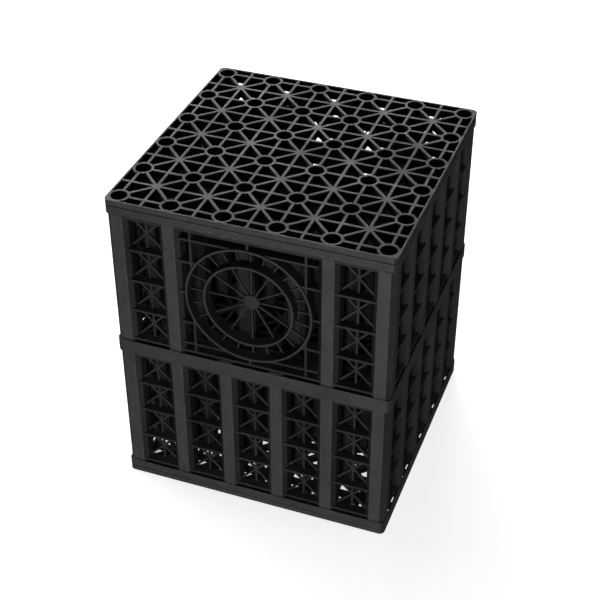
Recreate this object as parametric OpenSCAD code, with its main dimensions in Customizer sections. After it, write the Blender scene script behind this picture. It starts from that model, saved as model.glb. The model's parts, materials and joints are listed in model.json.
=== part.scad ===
// Soakaway crate: three lattice decks, joined by plug-in posts and braced side panels in two storeys.
// Millimetres. The origin is the centre of the underside, +Z is up, and the pipe ports face -Y and +Y.

/* [Crate] */
// Outside width, across the faces with the pipe ports
crate_w = 500; // [490:1:700]
// Outside depth, from the front face to the back face
crate_d = 500; // [490:1:700]
// Outside height of both storeys with their decks
crate_h = 600; // [580:1:800]
// Radius of the four upright corners
corner_r = 10; // [4:0.5:16]

/* [Decks] */
// Height of the band round the top and bottom decks
band_h = 29; // [25:0.5:36]
// Height of the band round the mid deck
mid_band_h = 32; // [28:0.5:40]
// Wall of the bands
skirt_t = 3; // [2:0.1:5]
// Shadow gap between a band and the columns
joint_gap = 3; // [1:0.1:4]
// Thickness of a lattice rib, seen from above
rib_t = 4.8; // [3:0.1:7]
// Width of the hub where the rays of a star meet
hub_d = 15; // [10:0.5:20]
// Width of the octagonal eye round a peg hole
eye_w = 35; // [33:0.5:39]
// Depth of the lattice ribs
lattice_h = 16; // [10:0.5:20]
// Height of the rim between the outer surface and the groove in the band
rim_h = 9; // [5:0.5:12]
// Height of the groove in the band
groove_h = 3; // [1:0.1:4]
// Depth of the groove in the band
groove_d = 1.5; // [0.5:0.1:1.5]

/* [Posts] */
// Width of a post, and of a column in a side panel
post_w = 36; // [34:0.5:39.5]
// Width of the bevels on a post's corners
post_bevel = 8; // [3:0.5:8]
// Wall of a post
post_wall = 1.8; // [1.5:0.1:2.2]
// Distance of the outer posts' axes from the faces of the crate
post_inset = 20; // [20:0.5:26]
// Gap between a post and the spigot inside it
spigot_clear = 0.25; // [0.1:0.05:0.4]
// Length of a spigot inside a post
spigot_h = 12; // [6:0.5:20]
// Diameter of the peg hole through an eye and its spigot
peg_hole_d = 28; // [16:0.5:28]

/* [Side panels] */
// Rows of cells in one panel
rows = 4; // [3:1:6]
// Thickness of the braces' plate
web_t = 4; // [2.5:0.1:6]
// Width of a brace
brace_t = 4; // [2.5:0.1:7]
// Thickness of a shelf
shelf_t = 4.5; // [3:0.1:7]
// Distance of the shelves' front edges from the face of the crate
shelf_inset = 4; // [2:0.5:10]
// Gap between a panel and the pieces above, below and beside it
panel_clear = 0.5; // [0.2:0.1:0.9]

/* [Pipe port] */
// Outside diameter of the ring for the large pipe
large_ring_d = 225; // [190:1:230]
// Outside diameter of the ring for the small pipe
small_ring_d = 160; // [110:1:168]
// Wall of the rings
ring_wall = 4; // [3:0.1:7]
// Distance of the rings' front edges from the face of the crate
ring_inset = 0.5; // [0.5:0.5:8]
// Thickness of the spokes and struts
spoke_t = 3; // [2:0.1:6]
// Diameter of the boss in the middle
boss_d = 28; // [20:1:40]
// Height of the boss in front of the braces' plate
boss_h = 2; // [1:0.5:8]
// Distance of the corner ribs from the sides of the port
corner_rib_inset = 20; // [14:1:28]

/* [Hidden] */
$fn = 96;

// Cells along each side of a deck: a star in the middle of each, a post at each corner
cells = 5;
// Bays in the middle of a face that a pipe port takes up
port_bays = 3;
// Spokes inside the small ring, and struts between the two rings
spokes = 12;
struts = 24;

// Spacing of the posts, and their places from the middle of the crate
pitch_x = (crate_w - 2 * post_inset) / cells;
pitch_y = (crate_d - 2 * post_inset) / cells;
steps = [for (i = [0 : cells]) i - cells / 2];

// A post's bore, with the same wall at the bevels, and the octagonal spigot inside it
bore_w = post_w - 2 * post_wall;
bore_bevel = max(post_bevel - (2 - sqrt(2)) * post_wall, 0.5);
spigot_w = bore_w - 2 * spigot_clear;

// Underside of the mid deck, and height of a storey between two decks
mid_z = (crate_h - mid_band_h) / 2;
storey_h = mid_z - band_h;

// Side panels, in the frame of a face: x along the face, y inwards from it
web_y = post_inset - web_t / 2;
web_back = web_y + web_t;
panel_h = storey_h - 2 * panel_clear;
row_h = (panel_h - shelf_t) / rows;
port_w = port_bays * pitch_x - post_w;

LOWER = "lower";
UPPER = "upper";
INNER = [1 : cells - 1];

// Height that the posts and panels of a storey stand at
function floor_z(storey) = storey == LOWER ? band_h : mid_z + mid_band_h;

// Whether a column of a face stands beside a pipe port, not inside it
function beside_port(step) = abs(step) > (port_bays - 1) / 2;

// Whether a place in a deck has a spigot: all but those inside the ports, on the front and back
function has_spigot(i, j) = abs(j) < cells / 2 || beside_port(i);

// A point after some quarter turns about the origin
function turned(p, quarters) = quarters == 0 ? p : turned([-p.y, p.x], quarters - 1);

// Octagon with flats to the left, right, front and back
module octagon(w) {
    rotate(22.5)
        circle(d = w / cos(22.5), $fn = 8);
}

// Square about the origin with bevelled corners, the section of a post
module bevelled_square(w, bevel) {
    h = w / 2;
    polygon([for (q = [0 : 3], p = [[h, bevel - h], [h, h - bevel]]) turned(p, q)]);
}

// Rectangle about the origin with round corners
module rounded_rect(w, d, r) {
    square([w - 2 * r, d], center = true);
    square([w, d - 2 * r], center = true);
    for (x = [-1, 1], y = [-1, 1])
        translate([x * (w / 2 - r), y * (d / 2 - r)])
            circle(r);
}

// Extrudes a plan between two heights
module between(z0, z1) {
    translate([0, 0, z0])
        linear_extrude(z1 - z0)
            children();
}

// Plan of a deck, drawn in from its outer edge
module deck_plan(inset = 0) {
    rounded_rect(crate_w - 2 * inset, crate_d - 2 * inset, max(corner_r - inset, 1));
}

// Repeats a shape at every post, or only at those with a spigot
module at_posts(with_spigot = false) {
    for (i = steps, j = steps)
        if (!with_spigot || has_spigot(i, j))
            translate([i * pitch_x, j * pitch_y])
                children();
}

// Corners of the opening between a straight ray, a slanted ray, the hub and the border of a star.
// The star has half sides a and b, and the straight ray runs along x.
function ray_opening(a, b, t, hub) =
    let (l = norm([a, b]))
    let (n = [l + a, b] / norm([l + a, b]))
    let (meet = [(l + a) * t / 2 / b, t / 2])
    let (r = max(hub / 2, 1.05 * n * meet))
    let (tip = [(r - n.y * t / 2) / n.x, t / 2])
    [
        tip,
        [a - t / 2, t / 2],
        [a - t / 2, (b * (a - t / 2) - l * t / 2) / a],
        2 * r * n - tip
    ];

// The eight openings round one eight-rayed star
module star_openings(a, b, t, hub) {
    for (sx = [-1, 1], sy = [-1, 1]) {
        polygon([for (p = ray_opening(a, b, t, hub)) [sx * p.x, sy * p.y]]);
        polygon([for (p = ray_opening(b, a, t, hub)) [sx * p.y, sy * p.x]]);
    }
}

// The pairs of openings between the outer row of stars and the band, on the two sides along x
module ladder_openings(pitch, half_d) {
    rail_y = half_d - post_inset + rib_t / 2;
    for (i = [0 : cells - 1], side = [-1, 1], half = [-1, 1])
        translate([(i - (cells - 1) / 2) * pitch + half * pitch / 4, side * (rail_y + half_d - skirt_t) / 2])
            square([pitch / 2 - rib_t, half_d - skirt_t - rail_y], center = true);
}

// Plan of the lattice of stars, reaching halfway into the band
module lattice_plan() {
    difference() {
        deck_plan(skirt_t / 2);
        for (i = [0 : cells - 1], j = [0 : cells - 1])
            translate([(i - (cells - 1) / 2) * pitch_x, (j - (cells - 1) / 2) * pitch_y])
                star_openings(pitch_x / 2, pitch_y / 2, rib_t, hub_d);
        ladder_openings(pitch_x, crate_d / 2);
        rotate(90)
            ladder_openings(pitch_y, crate_w / 2);
    }
}

// Wall round a deck
module band(z0, z1) {
    between(z0, z1)
        difference() {
            deck_plan();
            deck_plan(skirt_t);
        }
}

// Lattice between two heights, with the eyes round the peg holes
module lattice(z0, z1) {
    between(z0, z1) {
        lattice_plan();
        at_posts()
            octagon(eye_w);
    }
}

// Collars that carry the ends of the posts
module collars(z0, z1) {
    between(z0, z1)
        at_posts()
            bevelled_square(post_w, post_bevel);
}

// Spigots inside the ends of the posts
module spigots(z0, z1) {
    between(z0, z1)
        at_posts(with_spigot = true)
            octagon(spigot_w);
}

module peg_holes(z0, z1) {
    between(z0 - 1, z1 + 1)
        at_posts()
            circle(d = peg_hole_d);
}

// Deck with its lattice underneath and its spigots upwards
module outer_deck() {
    spigot_top = band_h + spigot_h;
    difference() {
        union() {
            band(0, band_h - joint_gap);
            lattice(0, lattice_h);
            collars(lattice_h, band_h);
            spigots(band_h, spigot_top);
        }
        peg_holes(0, spigot_top);
        between(rim_h, rim_h + groove_h)
            difference() {
                deck_plan(-1);
                deck_plan(groove_d);
            }
    }
}

module bottom_deck() {
    color("#26272a")
        outer_deck();
}

module top_deck() {
    color("#2b2c2f")
        translate([0, 0, crate_h])
            rotate([180, 0, 0])
                outer_deck();
}

module mid_deck() {
    lattice_z = (mid_band_h - lattice_h) / 2;
    spigot_top = mid_band_h + spigot_h;
    color("#28292c")
        translate([0, 0, mid_z])
            difference() {
                union() {
                    band(joint_gap, mid_band_h - joint_gap);
                    lattice(lattice_z, lattice_z + lattice_h);
                    collars(0, lattice_z);
                    collars(lattice_z + lattice_h, mid_band_h);
                    spigots(-spigot_h, 0);
                    spigots(mid_band_h, spigot_top);
                }
                peg_holes(-spigot_h, spigot_top);
            }
}

// Tube between two decks, over a spigot at each end
module post(storey) {
    color("#242528")
        between(floor_z(storey), floor_z(storey) + storey_h)
            difference() {
                bevelled_square(post_w, post_bevel);
                bevelled_square(bore_w, bore_bevel);
            }
}

// The six openings of a braced cell: one each side, and two each above and below the crossing
module brace_openings(w, h, t) {
    a = w / 2;
    b = h / 2;
    l = norm([a, b]);
    for (sx = [-1, 1]) {
        polygon([
            [sx * l * t / 2 / b, 0],
            [sx * a, b - l * t / 2 / a],
            [sx * a, l * t / 2 / a - b]
        ]);
        for (sy = [-1, 1])
            polygon([
                [sx * t / 2, sy * b],
                [sx * (a - l * t / 2 / b), sy * b],
                [sx * t / 2, sy * (l + b) * t / 2 / a]
            ]);
    }
}

// Draws a shape in the upright plane of a face, between two depths from the face
module upright(y0, y1) {
    translate([0, y1, 0])
        rotate([90, 0, 0])
            linear_extrude(y1 - y0)
                children();
}

// Ribs in the four corners between the large ring and the sides of the port
module port_corner_ribs() {
    for (x = [-1, 1])
        translate([x * (port_w / 2 - corner_rib_inset), 0])
            square([brace_t, panel_h - shelf_t], center = true);
    for (z = [-1, 1])
        translate([0, z * (panel_h / 2 - corner_rib_inset)])
            square([port_w + post_wall, brace_t], center = true);
    square([brace_t, panel_h - shelf_t], center = true);
}

// Two ring ribs with struts between them, and spokes from the small ring to the boss
module port() {
    small_r = small_ring_d / 2 - ring_wall / 2;
    large_r = large_ring_d / 2 - ring_wall / 2;
    upright(ring_inset, web_back)
        for (d = [small_ring_d, large_ring_d])
            difference() {
                circle(d = d);
                circle(d = d - 2 * ring_wall);
            }
    upright(web_y - boss_h, web_back)
        circle(d = boss_d);
    upright(web_y, web_back) {
        for (i = [0 : spokes - 1])
            rotate(i * 360 / spokes)
                translate([boss_d / 4, -spoke_t / 2])
                    square([small_r - boss_d / 4, spoke_t]);
        for (i = [0 : struts - 1])
            rotate(i * 360 / struts)
                translate([small_r, -spoke_t / 2])
                    square([large_r - small_r, spoke_t]);
    }
    upright(shelf_inset, web_back)
        difference() {
            port_corner_ribs();
            circle(r = large_r);
        }
}

// Side panel in the frame of a face: columns at the given steps, shelves, braces and perhaps a port
module panel(pitch, columns, half_l, stiles, with_port) {
    module at_columns() {
        for (c = columns)
            translate([c * pitch, post_inset])
                children();
    }
    module bay_openings() {
        for (i = [0 : cells - 1])
            let (c = i - (cells - 1) / 2)
                if (!with_port || abs(c) > port_bays / 2)
                    for (r = [0 : rows - 1])
                        translate([c * pitch, (r + 0.5 - rows / 2) * row_h])
                            brace_openings(pitch - post_w, row_h - shelf_t, brace_t);
        if (with_port)
            square([port_w, panel_h - 2 * shelf_t], center = true);
    }
    module shelves() {
        for (r = [0 : rows])
            translate([0, (r - rows / 2) * row_h])
                square([2 * half_l, shelf_t], center = true);
    }
    difference() {
        union() {
            between(0, storey_h)
                at_columns()
                    bevelled_square(post_w, post_bevel);
            translate([0, 0, storey_h / 2]) {
                upright(web_y, web_back)
                    difference() {
                        square([2 * half_l, panel_h], center = true);
                        bay_openings();
                    }
                upright(shelf_inset, web_back)
                    difference() {
                        shelves();
                        if (with_port)
                            circle(d = large_ring_d - ring_wall);
                    }
                if (with_port)
                    port();
                if (stiles)
                    for (x = [-1, 1])
                        translate([x * (half_l - shelf_t / 2), 0, 0])
                            upright(shelf_inset, web_back)
                                square([shelf_t, panel_h], center = true);
            }
        }
        between(-1, storey_h + 1)
            at_columns()
                bevelled_square(bore_w, bore_bevel);
    }
}

// Panel of a front or back face, which carries the corner columns
module end_panel(storey) {
    with_port = storey == UPPER;
    columns = [for (s = steps) if (!with_port || beside_port(s)) s];
    translate([0, -crate_d / 2, floor_z(storey)])
        panel(pitch_x, columns, crate_w / 2 - post_inset, false, with_port);
}

// Panel of a left or right face, which fits between the corner columns
module flank_panel(storey) {
    columns = [for (s = steps) if (abs(s) < cells / 2) s];
    half_l = crate_d / 2 - post_inset - post_w / 2 - panel_clear;
    translate([crate_w / 2, 0, floor_z(storey)])
        rotate(90)
            panel(pitch_y, columns, half_l, true, false);
}

module front_panel(storey) {
    color("#2a2b2e")
        end_panel(storey);
}

module back_panel(storey) {
    color("#2a2b2e")
        rotate(180)
            end_panel(storey);
}

module right_panel(storey) {
    color("#28292c")
        flank_panel(storey);
}

module left_panel(storey) {
    color("#28292c")
        rotate(180)
            flank_panel(storey);
}

bottom_deck();
mid_deck();
top_deck();
for (s = [LOWER, UPPER]) {
    front_panel(s);
    back_panel(s);
    left_panel(s);
    right_panel(s);
    for (i = INNER, j = INNER)
        translate([steps[i] * pitch_x, steps[j] * pitch_y])
                post(s);
}
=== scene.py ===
"""Looks of the soakaway crate: rubbed black plastic on a white light table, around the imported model."""

import json

import bmesh
import bpy
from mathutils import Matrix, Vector


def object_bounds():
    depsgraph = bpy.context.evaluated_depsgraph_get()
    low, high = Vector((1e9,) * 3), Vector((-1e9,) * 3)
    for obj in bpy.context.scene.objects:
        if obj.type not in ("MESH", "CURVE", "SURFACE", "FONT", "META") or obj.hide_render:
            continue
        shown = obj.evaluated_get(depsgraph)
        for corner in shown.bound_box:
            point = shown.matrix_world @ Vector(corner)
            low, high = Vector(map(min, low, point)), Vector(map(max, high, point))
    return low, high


MM = 0.001

# Colour sockets of a Mix node, which share their names with its other sockets
FACTOR, FIRST, SECOND = 0, 6, 7
MIXED = 2

# Sizes of the marks on the plastic
FLOW_MARK_MM = 70
SMEAR_MM = 24
NICK_LENGTH_MM = 60
NICK_WIDTH_MM = 2
CHIP_MM = 9
EDGE_MM = 1.4
DUST_PATCH_MM = 45
GRAIN_MM = 2
GRAIN_DEPTH_MM = 0.4

# The nicks run along two slants, given as turns in radians.
NICK_TILTS = ((0.9, 0.3, 0.2), (-0.5, -0.8, 0.4))

# Wear, and the painted light of the outer faces, is whole from the outer face to this share of its depth,
# then fades out.
WHOLE_WEAR_AND_LIGHT = 0.75

# The grille of a pipe port is square. As painted shade it takes only a share of the grey and the marks of
# the outer faces, up to a rim where they come back.
PORT_HALF_MM = 120
PORT_RIM_MM = 3
PORT_SHADED_SHARE = 0.35

# Size of the mottle in the floor's skin
MOTTLE_MM = 180

# The camera stands at the photograph's viewing angle.
CAMERA_PLACE = (0.6825, -1.8604, 1.7612)
CAMERA_TARGET = (0.0, 0.0, 0.285)
LENS_MM = 80
SENSOR_MM = 36

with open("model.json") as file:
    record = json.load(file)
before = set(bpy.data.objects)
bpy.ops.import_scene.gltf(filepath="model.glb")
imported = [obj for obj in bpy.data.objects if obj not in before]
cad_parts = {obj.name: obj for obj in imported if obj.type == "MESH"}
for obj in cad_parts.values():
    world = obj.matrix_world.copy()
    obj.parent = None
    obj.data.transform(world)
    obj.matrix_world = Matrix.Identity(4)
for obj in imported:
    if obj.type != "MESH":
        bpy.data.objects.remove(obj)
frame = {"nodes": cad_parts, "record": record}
cad_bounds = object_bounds()
MIDDLE = [(low + high) / 2 for low, high in zip(*cad_bounds)]
HALF_SIDES = [(high - low) / 2 for low, high in zip(*cad_bounds)]
PORT_CENTRE = next(m["pos_m"] for m in frame["record"]["mounts"] if m["name"] == "front_pipe_port")


def linear(hex_colour):
    """An sRGB hex colour as the linear RGBA that sockets take."""
    parts = [int(hex_colour[i:i + 2], 16) / 255 for i in (1, 3, 5)]
    return (*(c / 12.92 if c <= 0.04045 else ((c + 0.055) / 1.055) ** 2.4 for c in parts), 1.0)


WHITE = linear("#ffffff")
SCUFF = linear("#737475")
DUST = linear("#9a9892")


def add(tree, kind, inputs=None, **settings):
    """Adds a node with its settings, and sets or links each named input."""
    node = tree.nodes.new(kind)
    for name, value in settings.items():
        setattr(node, name, value)
    for name, value in (inputs or {}).items():
        if isinstance(value, bpy.types.NodeSocket):
            tree.links.new(value, node.inputs[name])
        else:
            node.inputs[name].default_value = value
    return node


def new_material(name):
    """An empty material with a Principled shader joined to its output."""
    material = bpy.data.materials.new(name)
    material.use_nodes = True
    tree = material.node_tree
    tree.nodes.clear()
    shader = add(tree, "ShaderNodeBsdfPrincipled")
    add(tree, "ShaderNodeOutputMaterial", {"Surface": shader.outputs["BSDF"]})
    return material, tree, shader


def outermost(tree, place, depth_mm, axes):
    """How near a point is to the crate's outer faces across the axes: 1 on them, 0 deeper than depth_mm.

    The depth is taken as a share of the width, so it is a fifth more along Z."""
    share = add(tree, "ShaderNodeVectorMath", {
        0: place,
        1: [1 / half for half in HALF_SIDES],
        2: [-middle / half for middle, half in zip(MIDDLE, HALF_SIDES)]}, operation="MULTIPLY_ADD")
    size = add(tree, "ShaderNodeVectorMath", {0: share.outputs["Vector"]}, operation="ABSOLUTE")
    reach = add(tree, "ShaderNodeSeparateXYZ", {"Vector": size.outputs["Vector"]})
    furthest = reach.outputs[axes[0]]
    for axis in axes[1:]:
        furthest = add(tree, "ShaderNodeMath", {
            0: furthest, 1: reach.outputs[axis]}, operation="MAXIMUM").outputs["Value"]
    depth = depth_mm * MM / HALF_SIDES[0]
    ramp = add(tree, "ShaderNodeMapRange", {
        "Value": furthest, "From Min": 1 - depth, "From Max": 1 - WHOLE_WEAR_AND_LIGHT * depth})
    return ramp.outputs["Result"]


def port_painted_shade(tree, place):
    """The share of the grey and the marks that a point takes: lower on the grilles of the pipe ports, as
    painted shade, and 1 elsewhere.
    """
    away = add(tree, "ShaderNodeVectorMath", {0: place, 1: PORT_CENTRE}, operation="SUBTRACT")
    size = add(tree, "ShaderNodeVectorMath", {0: away.outputs["Vector"]}, operation="ABSOLUTE")
    sides = add(tree, "ShaderNodeSeparateXYZ", {"Vector": size.outputs["Vector"]})
    furthest = add(tree, "ShaderNodeMath", {
        0: sides.outputs["X"], 1: sides.outputs["Z"]}, operation="MAXIMUM")
    reach = add(tree, "ShaderNodeMapRange", {
        "Value": furthest.outputs["Value"], "From Min": (PORT_HALF_MM - PORT_RIM_MM) * MM,
        "From Max": PORT_HALF_MM * MM, "To Min": PORT_SHADED_SHARE})
    return reach.outputs["Result"]


def carbon_black_polypropylene(name, skin, bloom, worn_and_lit, worn_and_lit_mm, dust_amount, streak_mm):
    """Polypropylene coloured with carbon black, injection moulded in a fine spark-eroded tool.

    To the eye it is a near-black, waxy satin skin with cloudy flow marks and a fine leathery grain. The
    outermost faces at the front, back, top and bottom have turned dark grey, partly by weathering and
    partly as painted light, while the recesses and flanks keep the darker skin as painted shade. All
    outermost faces are nicked, their edges are scuffed paler still, and a little grey yard dust lies on
    what faces up. The grilles of the pipe ports take less of the grey, the nicks and the scuffs, as
    painted shade."""
    material, tree, shader = new_material(name)
    place = add(tree, "ShaderNodeTexCoord").outputs["Object"]
    facing = add(tree, "ShaderNodeNewGeometry")
    # Painted shade: the grilles of the pipe ports take less of the grey and the marks, so they read
    # darker.
    port_shade = port_painted_shade(tree, place)
    # The first mask keeps the nicks and scuffs to the outer faces. The second is partly weathering and
    # partly painted light: it greys the outer front, back, top and bottom faces and leaves the recesses
    # and flanks dark as painted shade.
    outside, lit_and_weathered = (
        add(tree, "ShaderNodeMath", {
            0: outermost(tree, place, worn_and_lit_mm, axes), 1: port_shade}, operation="MULTIPLY").outputs["Value"]
        for axes in ("XYZ", "YZ"))

    # Flow marks are clouds, drawn out along the posts to streak_mm.
    stretched = add(tree, "ShaderNodeMapping", {
        "Vector": place, "Scale": (1, 1, FLOW_MARK_MM / streak_mm)})
    clouds = add(tree, "ShaderNodeTexNoise", {
        "Vector": stretched.outputs["Vector"], "Scale": 1 / (FLOW_MARK_MM * MM), "Detail": 4,
        "Roughness": 0.6})
    flow = add(tree, "ShaderNodeMapRange", {
        "Value": clouds.outputs["Fac"], "From Min": 0.34, "From Max": 0.68})
    skin_colour = add(tree, "ShaderNodeMix", {
        FACTOR: flow.outputs["Result"], FIRST: linear(skin), SECOND: linear(bloom)}, data_type="RGBA")

    # Weather greys the outer faces in smears. This grey is also painted light on the outer faces, and the
    # dark skin left in the recesses and on the flanks is painted shade.
    smears = add(tree, "ShaderNodeTexNoise", {
        "Vector": stretched.outputs["Vector"], "Scale": 1 / (SMEAR_MM * MM), "Detail": 5,
        "Roughness": 0.65})
    rubbed = add(tree, "ShaderNodeMapRange", {
        "Value": smears.outputs["Fac"], "From Min": 0.3, "From Max": 0.7, "To Min": 0.5, "To Max": 1.1})
    wear_and_painted_light = add(tree, "ShaderNodeMath", {
        0: lit_and_weathered, 1: rubbed.outputs["Result"]}, operation="MULTIPLY")
    worn_and_lit_colour = add(tree, "ShaderNodeMix", {
        FACTOR: wear_and_painted_light.outputs["Value"], FIRST: skin_colour.outputs[MIXED], SECOND: linear(worn_and_lit)},
        data_type="RGBA")

    # Handling has left slanting nicks, up to their full length where they run along a face. The real ones
    # are hairlines, drawn wider so that they show.
    hairlines = []
    for tilt in NICK_TILTS:
        slanted = add(tree, "ShaderNodeMapping", {
            "Vector": place, "Rotation": tilt, "Scale": (1, 1, NICK_LENGTH_MM / NICK_WIDTH_MM)},
            vector_type="TEXTURE")
        drawn = add(tree, "ShaderNodeTexNoise", {
            "Vector": slanted.outputs["Vector"], "Scale": 1 / (NICK_WIDTH_MM * MM), "Detail": 1,
            "Roughness": 0.4})
        hairlines.append(drawn.outputs["Fac"])
    deepest = add(tree, "ShaderNodeMath", {0: hairlines[0], 1: hairlines[1]}, operation="MAXIMUM")
    nick = add(tree, "ShaderNodeMapRange", {
        "Value": deepest.outputs["Value"], "From Min": 0.68, "From Max": 0.78, "To Max": 0.5})
    nicks = add(tree, "ShaderNodeMath", {0: outside, 1: nick.outputs["Result"]}, operation="MULTIPLY")
    nicked = add(tree, "ShaderNodeMix", {
        FACTOR: nicks.outputs["Value"], FIRST: worn_and_lit_colour.outputs[MIXED], SECOND: SCUFF},
        data_type="RGBA")

    # Edges are scuffed in chips: near an edge the rounded normal leaves the flat one.
    rounded = add(tree, "ShaderNodeBevel", {"Radius": EDGE_MM * MM}, samples=4)
    agreement = add(tree, "ShaderNodeVectorMath", {
        0: rounded.outputs["Normal"], 1: facing.outputs["True Normal"]}, operation="DOT_PRODUCT")
    edge = add(tree, "ShaderNodeMapRange", {
        "Value": agreement.outputs["Value"], "From Min": 0.995, "From Max": 0.86})
    chips = add(tree, "ShaderNodeTexNoise", {
        "Vector": place, "Scale": 1 / (CHIP_MM * MM), "Detail": 3, "Roughness": 0.7})
    broken = add(tree, "ShaderNodeMapRange", {
        "Value": chips.outputs["Fac"], "From Min": 0.38, "From Max": 0.64, "To Max": 0.8})
    knocked = add(tree, "ShaderNodeMath", {
        0: edge.outputs["Result"], 1: broken.outputs["Result"]}, operation="MULTIPLY")
    scuff = add(tree, "ShaderNodeMath", {0: knocked.outputs["Value"], 1: outside}, operation="MULTIPLY")
    scuffed = add(tree, "ShaderNodeMix", {
        FACTOR: scuff.outputs["Value"], FIRST: nicked.outputs[MIXED], SECOND: SCUFF}, data_type="RGBA")

    # Dust lies in patches on what faces up.
    upward = add(tree, "ShaderNodeSeparateXYZ", {"Vector": facing.outputs["Normal"]})
    lies = add(tree, "ShaderNodeMapRange", {
        "Value": upward.outputs["Z"], "From Min": 0.55, "From Max": 0.95, "To Max": dust_amount})
    patches = add(tree, "ShaderNodeTexNoise", {
        "Vector": place, "Scale": 1 / (DUST_PATCH_MM * MM), "Detail": 6, "Roughness": 0.65})
    patchy = add(tree, "ShaderNodeMapRange", {
        "Value": patches.outputs["Fac"], "From Min": 0.3, "From Max": 0.7, "To Min": 0.35})
    dust = add(tree, "ShaderNodeMath", {
        0: lies.outputs["Result"], 1: patchy.outputs["Result"]}, operation="MULTIPLY")
    colour = add(tree, "ShaderNodeMix", {
        FACTOR: dust.outputs["Value"], FIRST: scuffed.outputs[MIXED], SECOND: DUST}, data_type="RGBA")

    # The gloss is satin, duller in the flow marks and under dust.
    satin = add(tree, "ShaderNodeMapRange", {
        "Value": flow.outputs["Result"], "To Min": 0.54, "To Max": 0.66})
    gloss = add(tree, "ShaderNodeMath", {
        0: dust.outputs["Value"], 1: 0.5, 2: satin.outputs["Result"]}, operation="MULTIPLY_ADD")

    # The real grain is some 0.3 mm across, drawn coarser so that it shows.
    grain = add(tree, "ShaderNodeTexNoise", {
        "Vector": place, "Scale": 1 / (GRAIN_MM * MM), "Detail": 2, "Roughness": 0.5})
    relief = add(tree, "ShaderNodeBump", {
        "Height": grain.outputs["Fac"], "Strength": 0.8, "Distance": GRAIN_DEPTH_MM * MM,
        "Normal": rounded.outputs["Normal"]})

    tree.links.new(colour.outputs[MIXED], shader.inputs["Base Color"])
    tree.links.new(gloss.outputs["Value"], shader.inputs["Roughness"])
    tree.links.new(relief.outputs["Normal"], shader.inputs["Normal"])
    shader.inputs["IOR"].default_value = 1.49
    shader.inputs["Specular IOR Level"].default_value = 0.5
    return material


# The columns stand 2 mm behind the bands, so the panels take the wear, and the painted light of their
# outer faces, to a greater depth than the decks.
finishes = {
    "deck_polypropylene": carbon_black_polypropylene(
        "carbon_black_polypropylene_deck", skin="#161617", bloom="#272728", worn_and_lit="#343435",
        worn_and_lit_mm=1.2, dust_amount=0.05, streak_mm=70),
    "panel_polypropylene": carbon_black_polypropylene(
        "carbon_black_polypropylene_panel", skin="#121213", bloom="#222223", worn_and_lit="#393939",
        worn_and_lit_mm=3.2, dust_amount=0.05, streak_mm=160),
    "post_polypropylene": carbon_black_polypropylene(
        "carbon_black_polypropylene_post", skin="#111112", bloom="#1f1f20", worn_and_lit="#303031",
        worn_and_lit_mm=3.2, dust_amount=0.03, streak_mm=220),
}
# The flank panels have faded evenly, outside and in their bays.
flank_finish = carbon_black_polypropylene(
    "carbon_black_polypropylene_flank", skin="#171718", bloom="#242425", worn_and_lit="#242425",
    worn_and_lit_mm=3.2, dust_amount=0.05, streak_mm=160)

for subpart in frame["record"]["subparts"]:
    node_name = subpart["node"]
    is_flank = node_name.endswith(("_left_panel", "_right_panel"))
    slots = frame["nodes"][node_name].data.materials
    slots.clear()
    slots.append(flank_finish if is_flank else finishes[subpart["material_slot"]])


def opal_acrylic():
    """Sandblasted opal acrylic of a light table, lit from beneath.

    To the eye it is a plain white sheet that glows evenly, with the faintest mottle in its blasted skin,
    so the ground shows white through the openings of the crate."""
    material, tree, shader = new_material("opal_acrylic")
    place = add(tree, "ShaderNodeTexCoord").outputs["Object"]
    mottle = add(tree, "ShaderNodeTexNoise", {
        "Vector": place, "Scale": 1 / (MOTTLE_MM * MM), "Detail": 3})
    tint = add(tree, "ShaderNodeMix", {
        FACTOR: mottle.outputs["Fac"], FIRST: linear("#f1f1f0"), SECOND: linear("#f5f5f4")},
        data_type="RGBA")
    tree.links.new(tint.outputs[MIXED], shader.inputs["Base Color"])
    shader.inputs["Roughness"].default_value = 0.9
    shader.inputs["Specular IOR Level"].default_value = 0.2
    shader.inputs["Emission Color"].default_value = WHITE
    shader.inputs["Emission Strength"].default_value = 0.7
    return material


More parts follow.
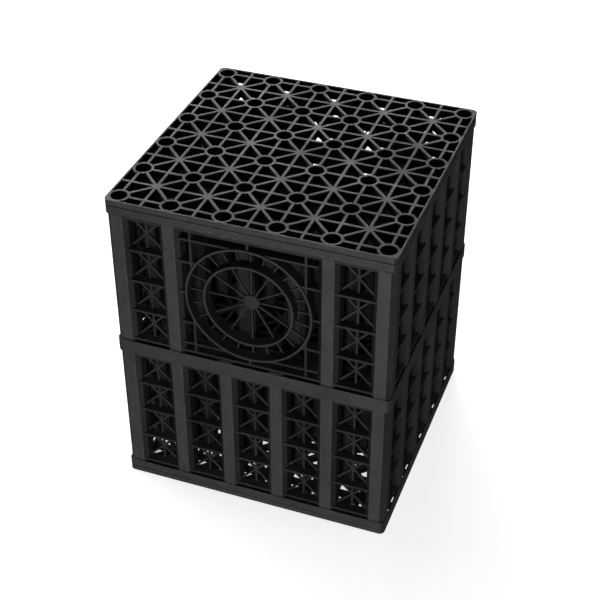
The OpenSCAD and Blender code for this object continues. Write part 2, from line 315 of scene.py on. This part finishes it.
def cove(width, height, sweep):
    """A studio floor that sweeps up into walls on all sides, open at the top."""
    shape = bmesh.new()
    bmesh.ops.create_cube(shape, size=1)
    bmesh.ops.scale(shape, vec=(width, width, height), verts=shape.verts)
    bmesh.ops.translate(shape, vec=(0, 0, height / 2), verts=shape.verts)
    top = [face for face in shape.faces if face.normal.z > 0.5]
    bmesh.ops.delete(shape, geom=top, context="FACES_ONLY")
    corners = [edge for edge in shape.edges if len(edge.link_faces) == 2]
    bmesh.ops.bevel(
        shape, geom=corners, offset=sweep, segments=12, profile=0.5, affect="EDGES", material=-1)
    bmesh.ops.reverse_faces(shape, faces=shape.faces)
    for face in shape.faces:
        face.smooth = True
    mesh = bpy.data.meshes.new("studio_floor")
    shape.to_mesh(mesh)
    shape.free()
    return bpy.data.objects.new("studio_floor", mesh)


floor = cove(width=24, height=14, sweep=4)
floor.data.materials.append(opal_acrylic())
bpy.context.scene.collection.objects.link(floor)
# The glow of the table stays off the crate, as if flagged, so that the sides keep their shade.
floor.visible_diffuse = False
floor.visible_glossy = False


def aim(obj, target):
    """Points a camera or light at a place."""
    obj.rotation_euler = (Vector(target) - obj.location).to_track_quat("-Z", "Y").to_euler()


def softbox(name, place, width, depth, watts):
    """A rectangular studio light, aimed at the middle of the crate."""
    lamp = bpy.data.lights.new(name, "AREA")
    lamp.shape = "RECTANGLE"
    lamp.size = width
    lamp.size_y = depth
    lamp.energy = watts
    obj = bpy.data.objects.new(name, lamp)
    obj.location = place
    aim(obj, MIDDLE)
    bpy.context.scene.collection.objects.link(obj)


softbox("front_softbox", (0.65, -3.5, 0.5), width=0.8, depth=0.8, watts=85)
softbox("back_softbox", (-1.2, 2.6, 1.8), width=2.4, depth=1.2, watts=76)
softbox("left_softbox", (-3.0, 0.4, 1.6), width=1.4, depth=1.4, watts=40)
softbox("right_softbox", (3.0, 0.2, 0.7), width=1.0, depth=1.0, watts=16)

world = bpy.data.worlds.new("studio")
world.use_nodes = True
sky = world.node_tree.nodes["Background"]
sky.inputs["Color"].default_value = WHITE
sky.inputs["Strength"].default_value = 0.06
bpy.context.scene.world = world
bpy.context.scene.view_settings.view_transform = "Standard"

lens = bpy.data.cameras.new("camera")
lens.sensor_width = SENSOR_MM
lens.lens = LENS_MM
camera = bpy.data.objects.new("camera", lens)
camera.location = CAMERA_PLACE
aim(camera, CAMERA_TARGET)
bpy.context.scene.collection.objects.link(camera)
bpy.context.scene.camera = camera

bpy.context.view_layer.update()
